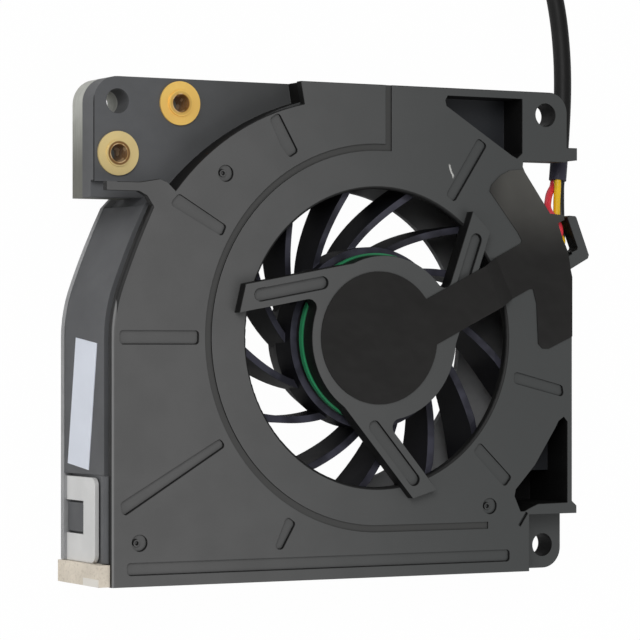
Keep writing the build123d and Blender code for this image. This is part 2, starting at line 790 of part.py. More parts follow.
# Tape over the hub, its stem, and its end on the plate
with BuildPart() as hub_tape:
    with BuildSketch(Plane.XY.offset(hub_top)):
        with Locations((tape_disc_shift, 0)):
            Circle(tape_disc_radius)
    extrude(amount=tape_thickness)
    with BuildSketch(stem_side):
        with BuildLine():
            Polyline(
                (0, hub_top), (stem_flat_end, hub_top), (stem_ramp_end, plate_top),
                (stem_ramp_end + stem_ramp_foot, plate_top),
                (stem_ramp_end + stem_ramp_foot, plate_top + tape_thickness),
                (stem_ramp_end, plate_top + tape_thickness), (stem_flat_end, hub_top + tape_thickness),
                (0, hub_top + tape_thickness), close=True,
            )
        make_face()
    extrude(amount=stem_high - stem_low)
    with BuildSketch(Plane.XY.offset(plate_top)):
        with BuildLine():
            Polyline(
                stem_point(stem_ramp_end, stem_high, 0)[:2], *tape_patch,
                stem_point(stem_ramp_end, stem_low, 0)[:2], close=True,
            )
        make_face()
    extrude(amount=tape_thickness)
hub_tape.part.label = "hub_tape"
export_step(hub_tape.part, "parts/hub_tape.step")

# Foam seal beside the outlet with its thin backing
with BuildPart() as outlet_foam:
    with BuildSketch(Plane.XY.offset(joint_gap)):
        with Locations(((foam_outer + plate_left) / 2, (plate_low + tab_low) / 2)):
            Rectangle(plate_left - foam_outer, tab_low - plate_low - joint_gap)
    extrude(amount=foam_height - joint_gap)
outlet_foam.part.label = "outlet_foam"
export_step(outlet_foam.part, "parts/outlet_foam.step")
with BuildPart() as foam_backing:
    with BuildSketch(Plane.XY.offset(backing_bottom)):
        with Locations((foam_outer - joint_gap / 2, plate_low + backing_shift)):
            Rectangle(joint_gap, backing_length)
    extrude(amount=foam_height - backing_bottom - joint_gap)
foam_backing.part.label = "foam_backing"
export_step(foam_backing.part, "parts/foam_backing.step")
flare_slope = belly_flare / (belly_top - cover_thickness)
label_place = (plate_left - flare_slope * (belly_top - label_height), label_y, label_height)
with BuildPart() as side_label:
    with BuildSketch(Plane(origin=label_place, x_dir=(0, -1, 0), z_dir=(-1, 0, flare_slope))):
        Rectangle(label_length, label_width, rotation=label_tilt)
    extrude(amount=joint_gap)
side_label.part.label = "side_label"
export_step(side_label.part, "parts/side_label.step")

# Motor board and hall sensor
with BuildPart() as motor_board:
    with BuildSketch(Plane.XY.offset(board_bottom)):
        Circle(board_radius)
        Circle(tube_outer + fit_gap, mode=Mode.SUBTRACT)
    extrude(amount=board_thickness)
motor_board.part.label = "motor_board"
export_step(motor_board.part, "parts/motor_board.step")
with BuildPart() as hall_driver:
    with Locations((*sensor_place, board_bottom - sensor_height / 2)):
        Box(sensor_length, sensor_width, sensor_height, rotation=(0, 0, sensor_turn))
hall_driver.part.label = "hall_driver"
export_step(hall_driver.part, "parts/hall_driver.step")

# Bearing tube, bearing and thrust pad
with BuildPart() as bearing_tube:
    with BuildSketch(Plane.XY.offset(tube_bottom)):
        Circle(tube_outer)
        Circle(tube_inner, mode=Mode.SUBTRACT)
    extrude(amount=board_top - tube_bottom)
bearing_tube.part.label = "bearing_tube"
export_step(bearing_tube.part, "parts/bearing_tube.step")
with BuildPart() as bearing_sleeve:
    with BuildSketch(Plane.XY.offset(sleeve_bottom)):
        Circle(tube_inner)
        Circle(shaft_radius + running_gap, mode=Mode.SUBTRACT)
    extrude(amount=sleeve_top - sleeve_bottom)
bearing_sleeve.part.label = "bearing_sleeve"
export_step(bearing_sleeve.part, "parts/bearing_sleeve.step")
with BuildPart() as thrust_pad:
    with BuildSketch(Plane.XY.offset(sleeve_top)):
        Circle(tube_inner)
    extrude(amount=board_top - sleeve_top)
thrust_pad.part.label = "thrust_pad"
export_step(thrust_pad.part, "parts/thrust_pad.step")

# Stator core with four poles
with BuildPart() as stator_core:
    with BuildSketch(Plane.XY.offset(core_bottom)):
        Circle(core_radius)
        Circle(shoe_inner, mode=Mode.SUBTRACT)
        with PolarLocations(0, pole_count, start_angle=45):
            with Locations((core_radius, 0)):
                Rectangle(
                    core_radius, 2 * core_radius * math.sin(math.radians((90 - shoe_angle) / 2)),
                    mode=Mode.SUBTRACT,
                )
        Circle(core_ring_radius)
        with PolarLocations(0, pole_count):
            with Locations(((shoe_inner + core_radius) / 4, 0)):
                Rectangle((shoe_inner + core_radius) / 2, tooth_width)
        Circle(tube_outer + fit_gap, mode=Mode.SUBTRACT)
    extrude(amount=core_top - core_bottom)
stator_core.part.label = "stator_core"
export_step(stator_core.part, "parts/stator_core.step")
for insulator_name, height in (
    ("insulator_front", core_top), ("insulator_rear", core_bottom - insulator_thickness)
):
    with BuildPart() as insulator:
        with BuildSketch(Plane.XY.offset(height)):
            Circle(core_ring_radius)
            with PolarLocations(0, pole_count):
                with Locations(((core_ring_radius + shoe_inner) / 2, 0)):
                    Rectangle(shoe_inner - core_ring_radius + 2 * coil_shoe_gap, tooth_width)
            Circle(tube_outer + fit_gap, mode=Mode.SUBTRACT)
        extrude(amount=insulator_thickness)
    insulator.part.label = insulator_name
    export_step(insulator.part, f"parts/{insulator_name}.step")

# Four coils round the teeth
with BuildPart() as stator_coils:
    with BuildSketch(Plane.XY.offset(coil_bottom)):
        with PolarLocations(0, pole_count):
            with Locations(((coil_inner + coil_outer) / 2, 0)):
                Rectangle(coil_outer - coil_inner, coil_width)
    extrude(amount=coil_top - coil_bottom)
    with BuildSketch(Plane.XY.offset(core_bottom - insulator_thickness)):
        with PolarLocations(0, pole_count):
            with Locations((core_radius / 2, 0)):
                Rectangle(core_radius, tooth_width + 2 * fit_gap)
    extrude(amount=core_top - core_bottom + 2 * insulator_thickness, mode=Mode.SUBTRACT)
stator_coils.part.label = "stator_coils"
export_step(stator_coils.part, "parts/stator_coils.step")

# Impeller, hub cup with thirteen blades
with BuildPart() as impeller:
    with BuildSketch(Plane.XY.offset(blade_back)):
        for blade in range(blade_count):
            turn = blade * 360 / blade_count + blade_shifts[blade % len(blade_shifts)]
            front_side = blade_side(1, turn)
            back_side = blade_side(-1, turn)
            with BuildLine():
                Spline(*front_side)
                Line(front_side[-1], back_side[-1])
                Spline(*reversed(back_side))
                Line(back_side[0], front_side[0])
            make_face()
    extrude(amount=blade_top - blade_back)
    with BuildSketch(Plane.XZ):
        with BuildLine():
            Polyline(
                (cup_outer + blade_slope_start, blade_inner_top), (blade_slope_radius, blade_top),
                (blade_slope_radius, plate_top), (0, plate_top), (0, blade_inner_top), close=True,
            )
        make_face()
    revolve(axis=Axis.Z, mode=Mode.SUBTRACT)
    with BuildSketch(Plane.XZ):
        with BuildLine():
            Polyline(
                (0, cup_back), (cup_back_radius, cup_back), (cup_outer, cup_knee),
                (cup_outer, cup_top), (0, cup_top), close=True,
            )
        make_face()
    revolve(axis=Axis.Z)
    with BuildSketch(Plane.XY.offset(seat_height)):
        Circle(yoke_outer)
    extrude(amount=cup_top, mode=Mode.SUBTRACT)
    with BuildSketch(Plane.XY.offset(cup_back + cup_back_thickness)):
        Circle(yoke_flange_inner)
        Circle(shaft_boss_radius, mode=Mode.SUBTRACT)
    extrude(amount=cup_top, mode=Mode.SUBTRACT)
    with BuildSketch(Plane.XY.offset(cup_back + cup_back_thickness + shaft_boss_height)):
        Circle(shaft_boss_radius)
    extrude(amount=cup_top, mode=Mode.SUBTRACT)
    with BuildSketch(Plane.XY.offset(shaft_bottom)):
        Circle(shaft_radius)
    extrude(amount=cup_top, mode=Mode.SUBTRACT)
impeller.part.label = "impeller"
export_step(impeller.part, "parts/impeller.step")
with BuildPart() as rotor_yoke:
    with BuildSketch(Plane.XY.offset(seat_height)):
        Circle(yoke_outer)
        Circle(yoke_flange_inner, mode=Mode.SUBTRACT)
    extrude(amount=cup_top - seat_height)
    with BuildSketch(Plane.XY.offset(seat_height + yoke_wall)):
        Circle(magnet_outer)
    extrude(amount=cup_top, mode=Mode.SUBTRACT)
rotor_yoke.part.label = "rotor_yoke"
export_step(rotor_yoke.part, "parts/rotor_yoke.step")
with BuildPart() as magnet_ring:
    with BuildSketch(Plane.XY.offset(magnet_bottom)):
        Circle(magnet_outer)
        Circle(magnet_inner, mode=Mode.SUBTRACT)
    extrude(amount=magnet_top - magnet_bottom)
magnet_ring.part.label = "magnet_ring"
export_step(magnet_ring.part, "parts/magnet_ring.step")
with BuildPart() as rotor_shaft:
    with BuildSketch(Plane.XY.offset(shaft_bottom)):
        Circle(shaft_radius)
    extrude(amount=shaft_top - shaft_bottom)
rotor_shaft.part.label = "rotor_shaft"
export_step(rotor_shaft.part, "parts/rotor_shaft.step")

# Wires from the board, through the channel and the hook, to the lead sleeve
wire_routes = {
    "wire_red": (wire_lane + wire_pitch, 34.3, [
        (31.0, 16.9, 13.6), (29.9, 19.0, 12.1), (31.6, 21.4, 10.0), (32.85, 22.6, 9.2),
        (33.0, 23.4, 9.15),
    ]),
    "wire_yellow": (wire_lane, 34.4, [
        (31.45, 15.6, 12.6), (32.0, 19.4, 11.45), (32.85, 22.5, 10.4), (32.96, 23.5, 10.23),
    ]),
    "wire_black": (wire_lane - wire_pitch, 33.2, [
        (32.5, 14.6, 12.1), (32.9, 19.0, 11.2), (33.82, 22.5, 9.77), (33.93, 23.38, 9.73),
    ]),
}
for wire_name, (lane, run_end, outer_points) in wire_routes.items():
    route = [
        stem_point(7.9, lane, board_top + wire_radius + sliver_gap),
        stem_point(9.2, lane, 14.85),
        stem_point(11.2, lane, hub_channel_floor + wire_radius + sliver_gap),
        stem_point(18.4, lane, hub_channel_floor + wire_radius + sliver_gap),
        stem_point(22.2, lane, plate_bottom + wire_radius + sliver_gap),
        stem_point(run_end, lane, plate_bottom + wire_radius + sliver_gap),
    ] + outer_points
    with BuildPart() as wire:
        with BuildLine() as wire_line:
            FilletPolyline(*route, radius=arc_radii(route))
        with BuildSketch(Plane(origin=wire_line.line @ 0, z_dir=wire_line.line % 0)):
            Circle(wire_radius)
        sweep(path=wire_line.line)
    wire.part.label = wire_name
    export_step(wire.part, f"parts/{wire_name}.step")
    print(wire_name, "bend radii", [round(radius, 2) for radius in arc_radii(route)])
    straight = math.pi * wire_radius**2 * wire_line.wires()[0].length
    print(wire_name, "volume share", round(wire.part.volume / straight, 4))

# Lead sleeve
with BuildPart() as lead_sleeve:
    with BuildLine() as sleeve_line:
        FilletPolyline(*sleeve_points, radius=arc_radii(sleeve_points))
    with BuildSketch(Plane(origin=sleeve_line.line @ 0, z_dir=sleeve_line.line % 0)):
        Circle(lead_sleeve_radius)
    sweep(path=sleeve_line.line)
lead_sleeve.part.label = "lead_sleeve"
export_step(lead_sleeve.part, "parts/lead_sleeve.step")
print("lead sleeve bend radii", [round(radius, 2) for radius in arc_radii(sleeve_points)])
print("lead sleeve length", round(sleeve_line.wires()[0].length, 2))
straight = math.pi * lead_sleeve_radius**2 * sleeve_line.wires()[0].length
print("lead sleeve volume share", round(lead_sleeve.part.volume / straight, 4))

# Short wires from the sleeve to the connector
lead_routes = {
    "lead_red": [
        (14.06, 76.86, 1.04), (11.9, 77.3, 1.05), (8.6, connector_y + pin_pitch, 1.6),
        (connector_back - 1, connector_y + pin_pitch, 1.65),
    ],
    "lead_yellow": [
        (13.98, 76.3, 2.02), (11.85, 76.61, 2.1), (8.6, connector_y, 1.66),
        (connector_back - 1, connector_y, 1.65),
    ],
    "lead_black": [
        (13.9, 75.74, 1.04), (11.8, 75.95, 1.05), (8.6, connector_y - pin_pitch, 1.6),
        (connector_back - 1, connector_y - pin_pitch, 1.65),
    ],
}
for lead_name, route in lead_routes.items():
    with BuildPart() as lead:
        with BuildLine() as lead_line:
            FilletPolyline(*route, radius=arc_radii(route))
        with BuildSketch(Plane(origin=lead_line.line @ 0, z_dir=lead_line.line % 0)):
            Circle(wire_radius)
        sweep(path=lead_line.line)
    lead.part.label = lead_name
    export_step(lead.part, f"parts/{lead_name}.step")
    print(lead_name, "bend radii", [round(radius, 2) for radius in arc_radii(route)])

# Connector at the end of the lead
connector_front = connector_back - connector_length
connector_mid = connector_lift + connector_height / 2
contact_x = connector_front + socket_depth - contact_length / 2
contact_z = connector_mid - (socket_height - contact_height) / 2
with BuildPart() as connector_housing:
    with Locations(((connector_back + connector_front) / 2, connector_y, connector_mid)):
        Box(connector_length, connector_width, connector_height)
    with Locations((connector_front + latch_place, connector_y, connector_lift + connector_height)):
        Box(latch_length, connector_width - 2 * latch_side, latch_height)
    with BuildSketch(Plane.YZ.offset(connector_back - pin_hole_depth)):
        for pin in (-1, 0, 1):
            with Locations((connector_y + pin * pin_pitch, connector_mid)):
                Circle(pin_hole_radius)
    extrude(amount=pin_hole_depth, mode=Mode.SUBTRACT)
    with BuildSketch(Plane.YZ.offset(connector_front)):
        for pin in (-1, 0, 1):
            with Locations((connector_y + pin * pin_pitch, connector_mid)):
                Rectangle(socket_width, socket_height)
    extrude(amount=socket_depth, mode=Mode.SUBTRACT)
connector_housing.part.label = "connector_housing"
export_step(connector_housing.part, "parts/connector_housing.step")
with BuildPart() as connector_contacts:
    for pin in (-1, 0, 1):
        with Locations((contact_x, connector_y + pin * pin_pitch, contact_z)):
            Box(contact_length, contact_width, contact_height)
connector_contacts.part.label = "connector_contacts"
export_step(connector_contacts.part, "parts/connector_contacts.step")
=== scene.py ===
"""Looks of the laptop blower fan: camera, studio, cord and procedural finishes."""

from __future__ import annotations

import logging
import math
from dataclasses import dataclass, field
from enum import Enum
from typing import Any, ClassVar, Union

import bpy
from mathutils import Matrix, Vector

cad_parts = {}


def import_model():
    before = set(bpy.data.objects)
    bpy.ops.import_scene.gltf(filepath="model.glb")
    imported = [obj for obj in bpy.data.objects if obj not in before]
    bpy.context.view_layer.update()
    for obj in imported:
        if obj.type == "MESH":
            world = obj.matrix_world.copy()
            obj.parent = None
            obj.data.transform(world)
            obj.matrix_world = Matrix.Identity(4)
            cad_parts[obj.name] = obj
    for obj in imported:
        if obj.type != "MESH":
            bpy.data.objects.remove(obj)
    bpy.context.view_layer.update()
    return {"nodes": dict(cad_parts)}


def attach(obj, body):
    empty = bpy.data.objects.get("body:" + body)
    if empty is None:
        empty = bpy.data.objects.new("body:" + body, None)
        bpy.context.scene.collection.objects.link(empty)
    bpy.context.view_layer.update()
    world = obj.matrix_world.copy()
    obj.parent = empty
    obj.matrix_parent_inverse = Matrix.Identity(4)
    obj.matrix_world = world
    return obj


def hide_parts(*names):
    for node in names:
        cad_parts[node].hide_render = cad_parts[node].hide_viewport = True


log = logging.getLogger("scene")

MM = 0.001
X, Y, Z = range(3)
MIX_FIRST, MIX_SECOND, MIX_RESULT = 6, 7, 2
WALL_TO_FACE = (0.1, 0.55)
Pair = tuple[float, float]
Triple = tuple[float, float, float]


def srgb(code: str) -> Triple:
    """Turns a display colour into a linear one.

    Args:
        code: six hexadecimal digits.

    Returns:
        Linear red, green and blue.
    """
    parts = [int(code[i : i + 2], 16) / 255 for i in (0, 2, 4)]
    return tuple(
        part / 12.92 if part <= 0.04045 else ((part + 0.055) / 1.055) ** 2.4
        for part in parts
    )


class Value:
    """A shader socket that carries a number and can be used in sums."""

    def __init__(self, graph: "Graph", socket: Any) -> None:
        """Wraps a socket.

        Args:
            graph: the graph that the socket is in.
            socket: an output socket.
        """
        self.graph = graph
        self.socket = socket

    def _math(self, operation: str, first: "Number", second: "Number" = 0.0) -> "Value":
        """Adds a Math node.

        Args:
            operation: the Math node's operation.
            first: first operand.
            second: second operand.

        Returns:
            The result.
        """
        return self.graph.node("ShaderNodeMath", {"operation": operation}, {0: first, 1: second})

    def __add__(self, other: "Number") -> "Value":
        """Returns self + other."""
        return self._math("ADD", self, other)

    def __sub__(self, other: "Number") -> "Value":
        """Returns self - other."""
        return self._math("SUBTRACT", self, other)

    def __rsub__(self, other: float) -> "Value":
        """Returns other - self."""
        return self._math("SUBTRACT", other, self)

    def __mul__(self, other: "Number") -> "Value":
        """Returns self * other."""
        return self._math("MULTIPLY", self, other)

    def __truediv__(self, other: "Number") -> "Value":
        """Returns self / other."""
        return self._math("DIVIDE", self, other)

    def __gt__(self, other: "Number") -> "Value":
        """Returns 1 where self is greater than other."""
        return self._math("GREATER_THAN", self, other)

    def __lt__(self, other: "Number") -> "Value":
        """Returns 1 where self is less than other."""
        return self._math("LESS_THAN", self, other)

    def sine(self) -> "Value":
        """Returns the sine of self."""
        return self._math("SINE", self)

    def root(self) -> "Value":
        """Returns the square root of self."""
        return self._math("SQRT", self)

    def ramp(self, low: float, high: float) -> "Value":
        """Eases from 0 to 1 as self goes from low to high.

        Args:
            low: where the result is 0.
            high: where the result is 1.

        Returns:
            The eased value, held between 0 and 1.
        """
        settings = {"interpolation_type": "SMOOTHSTEP"}
        inputs = {"Value": self, "From Min": low, "From Max": high}
        return self.graph.node("ShaderNodeMapRange", settings, inputs)


Number = Union[Value, float]


class Graph:
    """Builds one material's node tree."""

    def __init__(self, name: str) -> None:
        """Starts an empty material.

        Args:
            name: the material's name.
        """
        self.material = bpy.data.materials.new(name)
        self.material.use_nodes = True
        self.tree = self.material.node_tree
        self.tree.nodes.clear()
        self._place: Any = None

    def feed(self, socket: Any, value: Any) -> None:
        """Sets or links an input socket.

        Args:
            socket: the input socket.
            value: a Value to link, or a constant.
        """
        if isinstance(value, Value):
            self.tree.links.new(value.socket, socket)
        elif hasattr(socket.default_value, "__len__") and len(socket.default_value) == 4:
            socket.default_value = (*value, 1.0)
        else:
            socket.default_value = value

    def node(
        self,
        kind: str,
        settings: dict[str, Any],
        inputs: dict[Any, Any],
        output: int | str = 0,
    ) -> Value:
        """Adds any node.

        Args:
            kind: the node's type.
            settings: properties, set before the inputs.
            inputs: input name or index to Value or constant.
            output: index or name of the output to return.

        Returns:
            The chosen output.
        """
        made = self.tree.nodes.new(kind)
        for key, setting in settings.items():
            setattr(made, key, setting)
        for key, value in inputs.items():
            self.feed(made.inputs[key], value)
        return Value(self, made.outputs[output] if len(made.outputs) else None)

    def place(self) -> Value:
        """Returns the place in the part's own frame, in metres."""
        if self._place is None:
            self._place = self.node("ShaderNodeTexCoord", {}, {}, "Object")
        return self._place

    def part(self, vector: Value, index: int) -> Value:
        """Returns one component of a vector.

        Args:
            vector: the vector.
            index: 0, 1 or 2 for X, Y or Z.

        Returns:
            The component.
        """
        return self.node("ShaderNodeSeparateXYZ", {}, {0: vector}, index)

    def axis(self, index: int) -> Value:
        """Returns one coordinate of the place, in millimetres.

        Args:
            index: 0, 1 or 2 for X, Y or Z.

        Returns:
            The coordinate.
        """
        return self.part(self.place(), index) * (1 / MM)

    def distance(self, centre: Pair | None = None) -> Value:
        """Returns the distance from an axis that runs along Z, in millimetres.

        Args:
            centre: where the axis is, or None for the wheel's own axis.

        Returns:
            The distance.
        """
        x, y = self.axis(X), self.axis(Y)
        if centre is not None:
            x, y = x - centre[X], y - centre[Y]
        return (x * x + y * y).root()

    def near(self, length: Value, middle: float, reach: float = 0.9) -> Value:
        """Returns 1 where a length is close to a middle value, and 0 elsewhere.

        Args:
            length: the length, in millimetres.
            middle: the middle value.
            reach: how far from it still counts.

        Returns:
            0 or 1.
        """
        return (length > middle - reach) * (length < middle + reach)

    def facing(self, index: int) -> Value:
        """Returns one component of the surface's direction.

        Args:
            index: 0, 1 or 2 for X, Y or Z.

        Returns:
            The component, from -1 to 1.
        """
        normal = self.node("ShaderNodeTexCoord", {}, {}, "Normal")
        return self.part(normal, index)

    def noise(
        self, scale: float, detail: float = 3.0, stretch: Triple = (1, 1, 1)
    ) -> Value:
        """Adds noise.

        Args:
            scale: features per metre.
            detail: octaves.
            stretch: factor on each coordinate.

        Returns:
            Noise between 0 and 1.
        """
        settings = {"operation": "MULTIPLY"}
        spot = self.node("ShaderNodeVectorMath", settings, {0: self.place(), 1: stretch})
        inputs = {"Vector": spot, "Scale": scale, "Detail": detail, "Roughness": 0.55}
        return self.node("ShaderNodeTexNoise", {}, inputs)

    def blend(self, amount: Number, first: Any, second: Any) -> Value:
        """Mixes two colours.

        Args:
            amount: 0 for the first and 1 for the second.
            first: a colour.
            second: a colour.

        Returns:
            The mixed colour.
        """
        inputs = {0: amount, MIX_FIRST: first, MIX_SECOND: second}
        return self.node("ShaderNodeMix", {"data_type": "RGBA"}, inputs, MIX_RESULT)

    def bump(self, height: Number, depth: float, normal: Value | None = None) -> Value:
        """Adds a bump.

        Args:
            height: the height, about 0 to 1.
            depth: how deep a height of 1 is, in millimetres.
            normal: a normal to start from.

        Returns:
            The bumped normal.
        """
        inputs = {"Height": height, "Distance": depth * MM, "Strength": 1.0}
        if normal is not None:
            inputs["Normal"] = normal
        return self.node("ShaderNodeBump", {}, inputs)

    def surface(self, **inputs: Any) -> bpy.types.Material:
        """Ends the graph in a Principled surface.

        Args:
            inputs: the Principled inputs, with underscores for spaces.

        Returns:
            The material.
        """
        named = {key.replace("_", " "): value for key, value in inputs.items()}
        shader = self.node("ShaderNodeBsdfPrincipled", {}, named)
        self.node("ShaderNodeOutputMaterial", {}, {"Surface": shader})
        return self.material


class Grain(Enum):
    """How the fine relief of a surface runs."""

    EVEN = (1.0, 1.0, 1.0)
    ALONG_Y = (1.0, 0.06, 1.0)
    LAYERED = (0.1, 0.1, 3.0)


@dataclass(frozen=True)
class Finish:
    """A procedural surface: colour with blotches, roughness wear and fine relief."""

    WEAR_SCALE: ClassVar[float] = 2.3
    WEAR_SPREAD: ClassVar[float] = 0.16

    name: str
    code: str
    roughness: float
    metallic: float = 0.0
    coat: float = 0.0
    specular: float = 0.5
    blotch: float = 0.12
    blotch_scale: float = 140.0
    grain: Grain = Grain.EVEN
    grain_scale: float = 4200.0
    grain_depth: float = 0.012
    round_edge: float = 0.0

    def colour(self, graph: Graph) -> Any:
        """Returns the colour over the surface.

        Args:
            graph: the material's graph.
        """
        base = srgb(self.code)
        dark = tuple(c * (1 - self.blotch) for c in base)
        light = tuple(min(1.0, c * (1 + self.blotch)) for c in base)
        return graph.blend(graph.noise(self.blotch_scale, 4.0).ramp(0.3, 0.7), dark, light)

    def relief(self, graph: Graph) -> Value:
        """Returns the normal with edge rounding and grain.

        Args:
            graph: the material's graph.
        """
        normal = None
        if self.round_edge:
            radius = self.round_edge * MM
            normal = graph.node("ShaderNodeBevel", {"samples": 6}, {"Radius": radius})
        fine = graph.noise(self.grain_scale, 2.0, self.grain.value)
        return graph.bump(fine, self.grain_depth, normal)

    def rub(self, graph: Graph) -> Number:
        """Returns the roughness over the surface.

        Args:
            graph: the material's graph.
        """
        wear = graph.noise(self.blotch_scale * self.WEAR_SCALE, 5.0, self.grain.value)
        return wear * self.WEAR_SPREAD + (self.roughness - self.WEAR_SPREAD / 2)

    def build(self) -> bpy.types.Material:
        """Makes the material.

        Returns:
            The finished material.
        """
        graph = Graph(self.name)
        return graph.surface(
            Base_Color=self.colour(graph),
            Roughness=self.rub(graph),
            Metallic=self.metallic,
            Coat_Weight=self.coat,
            Specular_IOR_Level=self.specular,
            Normal=self.relief(graph),
        )


@dataclass(frozen=True)
class CasingFinish(Finish):
    """Matte moulding with specks and a scuff, painted shade on its walls, edges, groove floor,
    low parts and right side, and a painted highlight on rounded edges. Lengths are in
    millimetres.
    """

    FAR_SHADE_TONE: ClassVar[str] = "434545"
    GROOVE_SHADE_TONE: ClassVar[str] = "3b3b3a"
    UNDER_SHADE_TONE: ClassVar[str] = "26282c"
    FOOT_SHADE_TONE: ClassVar[str] = "060608"
    GLEAM_TONE: ClassVar[str] = "8f8f8f"
    WALL_SHADE_TONE: ClassVar[str] = "060606"
    SPECK_TONE: ClassVar[str] = "6a6a68"
    SCUFF_TONE: ClassVar[str] = "d2d2ce"

    scuff_start: Pair = (11.35, 25.0)
    scuff_end: Pair = (12.2, 22.9)
    shade_reach: float = 0.2
    edge_left: float = -40.9
    inlet_radius: float = 21.2
    groove_radius: float = 27.1
    groove_leg: float = 1.45
    groove_start: float = -1.0
    groove_end: float = 18.8
    ring_end: float = 2.0
    groove_floor: Pair = (14.7, 14.8)
    shade_span: Pair = (-38.0, 28.0)
    plate_low: float = 13.5
    under: Pair = (10.0, 10.6)
    foot: Pair = (4.7, 9.0)

    def edge_shade(self, graph: Graph) -> Value:
        """Returns how dark the edges are that face away from the light.

        Args:
            graph: the material's graph.
        """
        reach = self.shade_reach * MM
        soft = graph.node("ShaderNodeBevel", {"samples": 8}, {"Radius": reach})
        lean_x, lean_y = graph.part(soft, X), graph.part(soft, Y)
        x, y = graph.axis(X), graph.axis(Y)
        radius = graph.distance()
        groove = self.groove_radius
        ring = graph.near(radius, groove) * (x < self.ring_end)
        leg = graph.near(x, self.groove_leg) * (y > groove - 1)
        run = graph.near(y, -groove) * (x > self.groove_start) * (x < self.groove_end)
        plain = (1 - ring) * (1 - leg) * (1 - run) * (x > self.edge_left)
        leaning = (lean_y * 0.6 - lean_x * 0.8).ramp(0.06, 0.22) * plain
        inward = (lean_x * x + lean_y * y) / radius * -1
        mouth = inward.ramp(0.08, 0.3) * graph.near(radius, self.inlet_radius)
        return (leaning + mouth).ramp(0.0, 1.0) * 0.95

    def toned(self, graph: Graph) -> Value:
        """Returns the colour by height, direction and edges, with its painted shade and painted
        highlight, without marks.

        Args:
            graph: the material's graph.
        """
        height = graph.axis(Z)
        upward = graph.facing(Z)
        # painted shade: the moulding darkens toward its right side
        across = graph.axis(X).ramp(*self.shade_span) * 0.95
        tone = graph.blend(across, super().colour(graph), srgb(self.FAR_SHADE_TONE))
        # painted shade on the groove's floor
        low, high = self.groove_floor
        groove = (height > low) * (height < high) * (upward > 0.9)
        tone = graph.blend(groove * 0.75, tone, srgb(self.GROOVE_SHADE_TONE))
        # painted shade: the moulding darkens to near black below the plate
        tone = graph.blend(1 - height.ramp(*self.under), tone, srgb(self.UNDER_SHADE_TONE))
        tone = graph.blend(1 - height.ramp(*self.foot), tone, srgb(self.FOOT_SHADE_TONE))
        # painted highlight on the rounded edges
        gleam = upward.ramp(0.3, 0.6) * (1 - upward.ramp(0.8, 0.96))
        tone = graph.blend(gleam * 0.5, tone, srgb(self.GLEAM_TONE))
        # painted shade: edges and walls facing away from the light turn near black
        shade = self.edge_shade(graph) * (height > self.plate_low)
        tone = graph.blend(shade, tone, srgb(self.WALL_SHADE_TONE))
        return graph.blend(1 - upward.ramp(*WALL_TO_FACE), tone, srgb(self.WALL_SHADE_TONE))

    def scuff(self, graph: Graph) -> Value:
        """Returns how strong the scuff on the plate's face is.

        Args:
            graph: the material's graph.
        """
        (x0, y0), (x1, y1) = self.scuff_start, self.scuff_end
        span = math.hypot(x1 - x0, y1 - y0)
        dx, dy = (x1 - x0) / span, (y1 - y0) / span
        along = (graph.axis(X) - x0) * dx + (graph.axis(Y) - y0) * dy
        across = (graph.axis(X) - x0) * dy - (graph.axis(Y) - y0) * dx
        offset = across + (graph.noise(900.0, 3.0) - 0.5) * 0.9
        width = 1 - (offset * offset).root().ramp(0.06, 0.2)
        ends = along.ramp(-0.1, 0.3) * (1 - along.ramp(span - 0.5, span))
        top = self.groove_floor[1]
        return width * ends * graph.axis(Z).ramp(top, top + 0.1)

    def colour(self, graph: Graph) -> Any:
        """Returns the moulding's colour with specks and the scuff.

        Args:
            graph: the material's graph.
        """
        specks = graph.noise(2600.0, 1.0).ramp(0.7, 0.82) * 0.1
        specked = graph.blend(specks, self.toned(graph), srgb(self.SPECK_TONE))
        return graph.blend(self.scuff(graph) * 0.8, specked, srgb(self.SCUFF_TONE))


@dataclass(frozen=True)
class ScrollFinish(Finish):
    """Moulding with painted shade: its steps under the plate and round the block are near black,
    and it darkens toward the right.
    """

    SIDE_SHADE_TONE: ClassVar[str] = "434444"
    STEP_SHADE_TONE: ClassVar[str] = "0c0b0a"
    FOOT_SHADE_TONE: ClassVar[str] = "0c0c0c"
    LINE_TONE: ClassVar[str] = "101010"

    shade_span: Pair = (-38.0, -14.0)
    block_top: float = 10.8
    ledge_top: float = 9.8
    block_left: float = -42.5
    step_start: Pair = (19.4, 19.8)
    foot_span: Pair = (20.9, 21.6)

    def colour(self, graph: Graph) -> Any:
        """Returns the moulding's colour with painted shade on its steps, its foot wall, its
        block edge and its right side.

        Args:
            graph: the material's graph.
        """
        x, y, z = (graph.axis(index) for index in (X, Y, Z))
        wall = 1 - graph.facing(Z).ramp(*WALL_TO_FACE)
        # painted shade: the moulding darkens toward its right side
        across = x.ramp(*self.shade_span) * 0.8
        tone = graph.blend(across, super().colour(graph), srgb(self.SIDE_SHADE_TONE))
        low, high = self.foot_span
        # painted shade: the steps above the block are near black
        step = wall * y.ramp(*self.step_start) * (z > self.block_top + 0.03)
        # painted shade: the downward wall under the block is near black
        foot = wall * (z > self.ledge_top + 0.02) * (y > low) * (y < high)
        # painted shade: a dark line along the block's left edge
        line = (x < self.block_left + 0.12) * (z > self.block_top - 0.14)
        tone = graph.blend(step, tone, srgb(self.STEP_SHADE_TONE))
        tone = graph.blend(foot, tone, srgb(self.FOOT_SHADE_TONE))
        return graph.blend(line * 0.85, tone, srgb(self.LINE_TONE))


